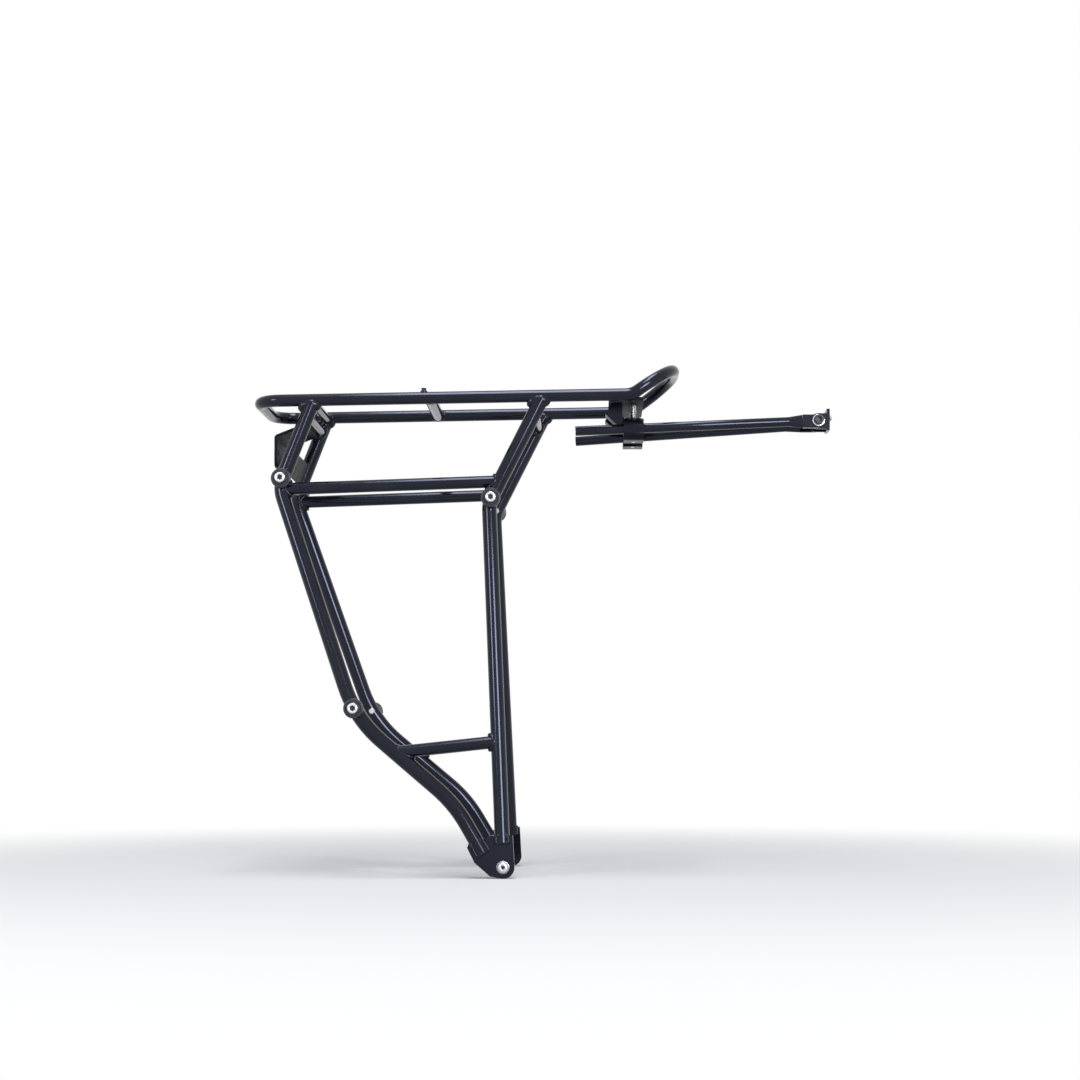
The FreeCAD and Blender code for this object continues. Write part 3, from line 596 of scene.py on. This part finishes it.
# Bosses on the legs and strap nubs on the deck.
for number, (low, high) in enumerate(solids("pannier_bosses")):
    middle = (low + high) / 2
    out = RIGHT if middle.y < 0 else LEFT
    side = "right" if middle.y < 0 else "left"
    leg = "rear" if middle.x < -0.05 else "front"
    face = Vector((middle.x, low.y if middle.y < 0 else high.y, middle.z))
    weld(f"weld_boss_{number + 1}", f"{leg}_leg_{side}", face, -out,
         round_outline(-out, (high.z - low.z) / 2), leg=1.2, inset=0.2)
for number, (low, high) in enumerate(solids("strap_nubs")):
    top = Vector(((low.x + high.x) / 2, (low.y + high.y) / 2, high.z))
    weld(f"weld_nub_{number + 1}", "deck_hoop", top, -UP,
         round_outline(-UP, (high.x - low.x) / 2), leg=1.1)


# ---------------------------------------------------------------- screws, washers and discs

# M5 screws, in millimetres. The thread's depth is a share of the radius.
SCREW, HEAD_HEIGHT, SOCKET = 5.0, 5.0, 4.0
BORE = 5.1
THREAD_PITCH, THREAD_STEPS, THREAD_DEPTH = 0.8, 6, 0.16


def hexagon(theta):
    """Radius of a hexagon of unit apothem at an angle."""
    return 1 / math.cos((theta + math.pi / 6) % (math.pi / 3) - math.pi / 6)


def knurl(theta):
    """A fine ridge on every second segment."""
    return 1 - 0.0125 * (1 - math.cos(theta * SEGMENTS / 2))


def chamfered_hexagon(limit):
    """A hexagon of unit apothem whose corners are cut back to a circle."""
    return lambda theta: min(hexagon(theta), limit)


def thread(height):
    """A screw thread's factor on the radius, at a height along the shank."""
    def shape(theta):
        turn = (height / THREAD_PITCH + theta / (2 * math.pi)) % 1
        return 1 - THREAD_DEPTH * (1 - abs(2 * turn - 1))
    return shape


def shank(diameter, plain, length):
    """Profile below a screw's head: plain first, then threaded to a chamfered tip."""
    radius = diameter / 2
    count = max(1, round((length - plain - 0.7) * THREAD_STEPS / THREAD_PITCH))
    heights = [-plain - (length - plain - 0.7) * k / count for k in range(count + 1)]
    return ([(0, radius), (-plain + 0.02, radius)] + [(h, radius, thread(h)) for h in heights]
            + [(-length + 0.6, radius * 0.86), (-length, radius * 0.7)])


def cap_head(head, height, socket):
    """Profile of a socket-head screw from the socket's floor to the seat, knurled outside."""
    hollow, outer = socket / 2, head / 2
    return [
        (height / 2, hollow * 0.5), (height / 2 + 0.15, hollow, hexagon),
        (height - 0.3, hollow, hexagon), (height, hollow * 1.25),
        (height, outer - 0.75), (height - 0.12, outer - 0.42), (height - 0.45, outer - 0.12),
        (height - 0.6, outer, knurl), (0.5, outer, knurl), (0.35, outer - 0.12), (0, outer - 0.25),
    ]


def button_head(head, height, socket):
    """Profile of a low domed head."""
    hollow, outer = socket / 2, head / 2
    dome = [(height * math.cos(t), hollow * 1.35 + (outer - hollow * 1.35) * math.sin(t))
            for t in (math.radians(10 * k) for k in range(1, 9))]
    return [(height - 1.5, hollow * 0.5), (height - 1.4, hollow, hexagon),
            (height - 0.2, hollow, hexagon), (height, hollow * 1.35), *dome,
            (0.35, outer), (0.1, outer - 0.05), (0, outer - 0.2)]


def washer(outer, inner, thick, soft=0.12):
    """Closed profile of a flat washer; diameters in millimetres."""
    return [(0, inner / 2), (0, outer / 2 - soft), (soft, outer / 2), (thick - soft, outer / 2),
            (thick - soft * 0.3, outer / 2 - soft * 0.7), (thick, outer / 2 - soft * 1.7),
            (thick, inner / 2 + soft), (thick - soft, inner / 2)]


def add_screw(name, node, low, high, axis, out, body, plain, material=STEEL):
    """A cap screw in the place of a CAD one, whose box is low to high."""
    middle = (low + high) / 2
    top = max((low, high), key=lambda corner: corner.dot(out))
    seat = middle.copy()
    seat[axis] = top[axis]
    seat -= out * (HEAD_HEIGHT * MM)
    across = (axis + 1) % 3
    length = millimetres(low, high, axis) - HEAD_HEIGHT
    profile = cap_head(millimetres(low, high, across), HEAD_HEIGHT, SOCKET)
    made = lathe(name, seat, out, profile + shank(SCREW, plain, length), body,
                 material, hollow=2)
    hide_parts(node)


screw_boxes = solids("pannier_screws")
disc_boxes = solids("pannier_discs")
for number, ((low, high), disc) in enumerate(zip(screw_boxes, disc_boxes), start=1):
    out = RIGHT if low.y < 0 else LEFT
    add_screw(f"pannier_screw_{number}", "pannier_screws", low, high, 1, out, "frame", 14)
    low, high = disc
    seat = (low + high) / 2
    seat.y = high.y if low.y < 0 else low.y
    outer, thick = millimetres(low, high, 0) / 2, millimetres(low, high, 1)
    profile = [
        (0, 2.6), (0, outer - 0.5), (0.15, outer - 0.15), (0.5, outer), (thick - 0.8, outer),
        (thick - 0.35, outer - 0.13), (thick - 0.1, outer - 0.45), (thick, outer - 0.9),
        (thick, outer - 1.7), (thick - 0.35, outer - 2.2), (thick - 0.35, 4.9),
        (thick, 4.5), (thick, 2.9), (thick - 0.3, 2.6)]
    made = lathe(f"pannier_disc_{number}", seat, out, profile, "frame", DISC,
                 closed=True)
    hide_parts("pannier_discs")

for side, out in SIDES.items():
    body = f"clamp_{side}"
    low, high = box_of(f"clamp_bolt_{side}")
    add_screw(f"clamp_screw_{side}", f"clamp_bolt_{side}", low, high, 2, UP, body, 1.5)
    for node, slot, material, soft in ((f"clamp_washer_{side}", "bolt_steel", STEEL, 0.12),
                                       (f"clamp_flange_{side}", "clamp_coat", CLAMP_COAT, 0.3)):
        low, high = box_of(node)
        seat = (low + high) / 2
        seat.z = low.z
        profile = washer(millimetres(low, high, 0), BORE, millimetres(low, high, 2), soft)
        made = lathe(f"{node}_turned", seat, UP, profile, body, material, closed=True)
        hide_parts(node)

low, high = box_of("cross_bolt")
pivot = (low + high) / 2
add_screw("cross_screw", "cross_bolt", low, high, 1, RIGHT, "front_stays", 24, DISC)
low, high = box_of("cross_nut")
flats, tall = millimetres(low, high, 0) / 2, millimetres(low, high, 1)
profile = [
    (0, 2.5), (0, 3.9), (0.45, flats, chamfered_hexagon(1.12)), (0.7, flats, hexagon),
    (tall - 0.7, flats, hexagon), (tall - 0.45, flats, chamfered_hexagon(1.12)), (tall, 3.9),
    (tall, 2.9), (tall - 0.4, 2.5)]
made = lathe("cross_nut_turned", Vector((pivot.x, low.y, pivot.z)), LEFT, profile,
             "front_stays", STEEL, closed=True)
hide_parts("cross_nut")
for low, high in solids("cross_washers"):
    side, out = ("right", RIGHT) if low.y < 0 else ("left", LEFT)
    seat = Vector((pivot.x, high.y if low.y < 0 else low.y, pivot.z))
    profile = washer(millimetres(low, high, 0), BORE, millimetres(low, high, 1))
    made = lathe(f"cross_washer_{side}", seat, out, profile, "front_stays", STEEL,
                 closed=True)
    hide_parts("cross_washers")
low, high = box_of("cross_spacer")
profile = washer(millimetres(low, high, 0), BORE, millimetres(low, high, 1), soft=0.25)
made = lathe("cross_spacer_turned", Vector((pivot.x, low.y, pivot.z)), LEFT, profile,
             "front_stays", STEEL, closed=True)
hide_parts("cross_spacer")

# The bolts through the feet, and the one that holds the bracket on the seat tube. Their holes
# stay open in the CAD model, because they belong to the bicycle's side of the fit.
BUTTON, BUTTON_HEIGHT, BUTTON_SOCKET = 9.4, 2.6, 3.0
for side, out in SIDES.items():
    low, high = box_of(f"foot_plate_{side}")
    face = Vector((0, low.y if side == "right" else high.y, 0))
    lathe(f"foot_washer_{side}", face, out, washer(10, BORE, 1), "frame", STEEL,
          closed=True)
    profile = button_head(BUTTON, BUTTON_HEIGHT, BUTTON_SOCKET) + shank(SCREW, 6.2, 14)
    lathe(f"foot_screw_{side}", face + out * MM, out, profile, "frame", STEEL,
          hollow=2)
low, high = box_of("seat_bracket")
hole = next(m for m in frame["record"]["mounts"] if m["name"] == "seat_tube_bolt")
face = Vector((high.x - 2.5 * MM, 0, hole["pos_m"][2]))
profile = button_head(BUTTON, BUTTON_HEIGHT, BUTTON_SOCKET) + shank(SCREW, 2.4, 5.2)
lathe("seat_screw", face, -FORWARD, profile, "bracket", STEEL, hollow=2)


# ---------------------------------------------------------------- softened edges


def soften(node, radius):
    """Rounds a CAD node's hard edges; radius in millimetres."""
    obj = NODES[node]
    merge = obj.modifiers.new("merge", "WELD")
    merge.merge_threshold = 0.002 * MM
    edge = obj.modifiers.new("soft_edges", "BEVEL")
    edge.width = radius * MM
    edge.segments = 3
    edge.limit_method = "ANGLE"
    edge.angle_limit = math.radians(40)
    edge.harden_normals = True
    edge.use_clamp_overlap = True


for node, radius in (
    ("front_bridge", 0.4), ("light_bracket", 0.35), ("tail_strip", 0.35),
    ("foot_plate_right", 0.5), ("foot_plate_left", 0.5),
    ("stay_clamp_right", 0.5), ("stay_clamp_left", 0.5), ("seat_bracket", 0.4),
    ("stay_rod_right", 0.3), ("stay_rod_left", 0.3), ("strap_nubs", 0.4),
):
    soften(node, radius)


# ---------------------------------------------------------------- floor, light and camera

DAYLIGHT = (0.92, 0.95, 1.0)


def stage_floor():
    """A pale plain floor that fades to white far out, where it meets the white world."""
    floor_z = CAD_BOX[0][2]
    reach = 30.0
    mesh = bpy.data.meshes.new("floor")
    mesh.from_pydata([(-reach, -reach, floor_z), (reach, -reach, floor_z),
                      (reach, reach, floor_z), (-reach, reach, floor_z)], [], [(0, 1, 2, 3)])
    floor = bpy.data.objects.new("floor", mesh)
    bpy.context.scene.collection.objects.link(floor)
    material = bpy.data.materials.new("pale_floor")
    material.use_nodes = True
    nodes, links = material.node_tree.nodes, material.node_tree.links
    shader = nodes["Principled BSDF"]
    shader.inputs["Base Color"].default_value = (0.8, 0.8, 0.8, 1)
    shader.inputs["Roughness"].default_value = 0.9
    shader.inputs["Specular IOR Level"].default_value = 0.1
    place = nodes.new("ShaderNodeNewGeometry").outputs["Position"]
    length = nodes.new("ShaderNodeVectorMath")
    length.operation = "LENGTH"
    links.new(place, length.inputs[0])
    fade = nodes.new("ShaderNodeMapRange")
    fade.interpolation_type = "SMOOTHSTEP"
    fade.inputs["From Min"].default_value = 0.3
    fade.inputs["From Max"].default_value = 1.0
    links.new(length.outputs["Value"], fade.inputs["Value"])
    white = nodes.new("ShaderNodeEmission")
    blend = nodes.new("ShaderNodeMixShader")
    links.new(fade.outputs["Result"], blend.inputs[0])
    links.new(shader.outputs[0], blend.inputs[1])
    links.new(white.outputs[0], blend.inputs[2])
    links.new(blend.outputs[0], nodes["Material Output"].inputs["Surface"])
    mesh.materials.append(material)


def white_world(fill):
    """White to the camera, in reflections and through glass; dimmer as light on the object."""
    world = bpy.data.worlds.new("studio")
    bpy.context.scene.world = world
    world.use_nodes = True
    nodes, links = world.node_tree.nodes, world.node_tree.links
    background = nodes["Background"]
    background.inputs["Color"].default_value = (1, 1, 1, 1)
    paths = nodes.new("ShaderNodeLightPath")
    seen = paths.outputs["Is Camera Ray"]
    for other in ("Is Glossy Ray", "Is Transmission Ray"):
        either = nodes.new("ShaderNodeMath")
        either.operation = "MAXIMUM"
        links.new(seen, either.inputs[0])
        links.new(paths.outputs[other], either.inputs[1])
        seen = either.outputs[0]
    strength = nodes.new("ShaderNodeMapRange")
    strength.inputs["To Min"].default_value = fill
    strength.inputs["To Max"].default_value = 1.0
    links.new(seen, strength.inputs["Value"])
    links.new(strength.outputs["Result"], background.inputs["Strength"])


def softbox(name, place, target, wide, tall, watts):
    lamp = bpy.data.lights.new(name, "AREA")
    lamp.shape = "RECTANGLE"
    lamp.size, lamp.size_y = wide, tall
    lamp.energy = watts
    lamp.color = DAYLIGHT
    obj = bpy.data.objects.new(name, lamp)
    obj.location = place
    obj.rotation_euler = (Vector(target) - Vector(place)).to_track_quat("-Z", "Y").to_euler()
    bpy.context.scene.collection.objects.link(obj)


stage_floor()
white_world(0.1)
deck = Vector((0.0, 0, CAD_BOX[1][2] - 0.03))
softbox("overhead", deck + Vector((0, -1.12, 3.84)), deck, 1.2, 3.2, 145)
softbox("front_right", (1.66, -3.58, 0.91), (0, 0, 0.22), 1.4, 1.4, 116)
softbox("front_left", (-1.16, -1.53, 0.7), (0, 0, 0.25), 0.4, 0.4, 9)

camera = bpy.data.cameras.new("camera")
camera.sensor_width = 36
camera.lens = 65.25
camera.shift_x, camera.shift_y = -0.0245, 0.121
viewer = bpy.data.objects.new("camera", camera)
viewer.location = (0.0695, -1.6261, 0.0994)
viewer.rotation_euler = (math.radians(92.063), 0, math.radians(0.722))
bpy.context.scene.collection.objects.link(viewer)
bpy.context.scene.camera = viewer
bpy.context.scene.view_settings.view_transform = "Standard"
